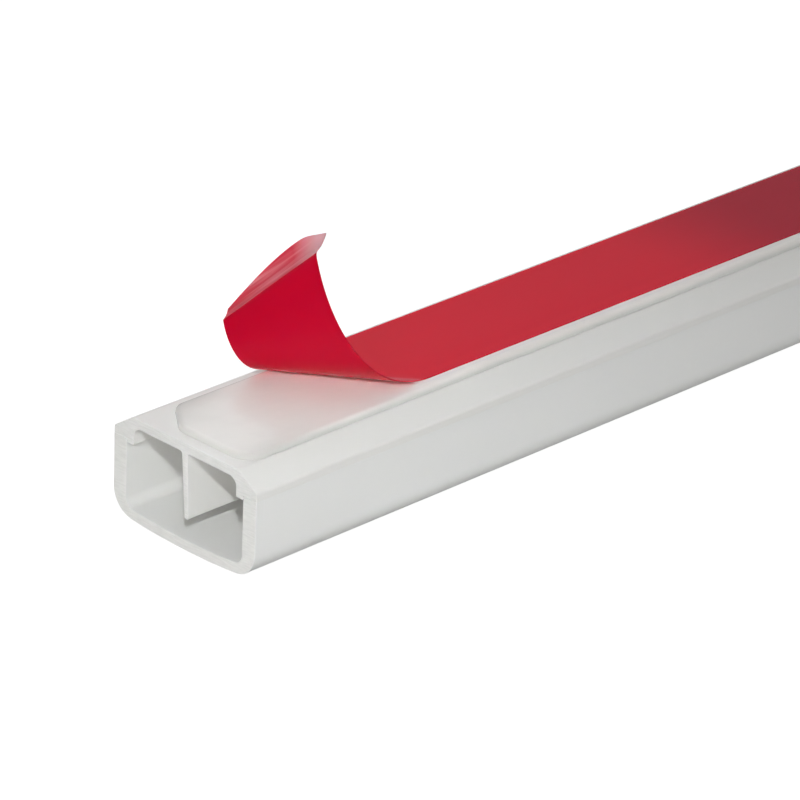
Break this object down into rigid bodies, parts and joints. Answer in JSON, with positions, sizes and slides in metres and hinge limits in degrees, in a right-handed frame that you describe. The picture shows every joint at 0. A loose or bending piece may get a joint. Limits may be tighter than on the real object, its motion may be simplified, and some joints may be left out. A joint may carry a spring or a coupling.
{
  "type": "mini trunking",
  "caption": "Straight length of white self-adhesive mini trunking: channel cover snapped on a base with a divider, foam tape on the back and a release liner peeled at one end.",
  "frame": {"origin": "middle of the length and width, on the lowest line of the cover's front", "axes": "+X along the length away from the peeled end, +Y across the width, +Z from the cover's front face to the adhesive back"},
  "size_m": [1, 0.0309, 0.0401],
  "materials": {
    "white_pvc_cover": "semi-gloss extruded PVC",
    "white_pvc_base": "semi-gloss extruded PVC",
    "foam_tape": "white foam tape with a tacky, slightly shiny adhesive face",
    "red_liner": "glossy red release film"
  },
  "bodies": {
    "root": {"trunking_cover": "white_pvc_cover", "trunking_base": "white_pvc_base", "adhesive_tape": "foam_tape", "release_liner": "red_liner"}
  },
  "joints": []
}
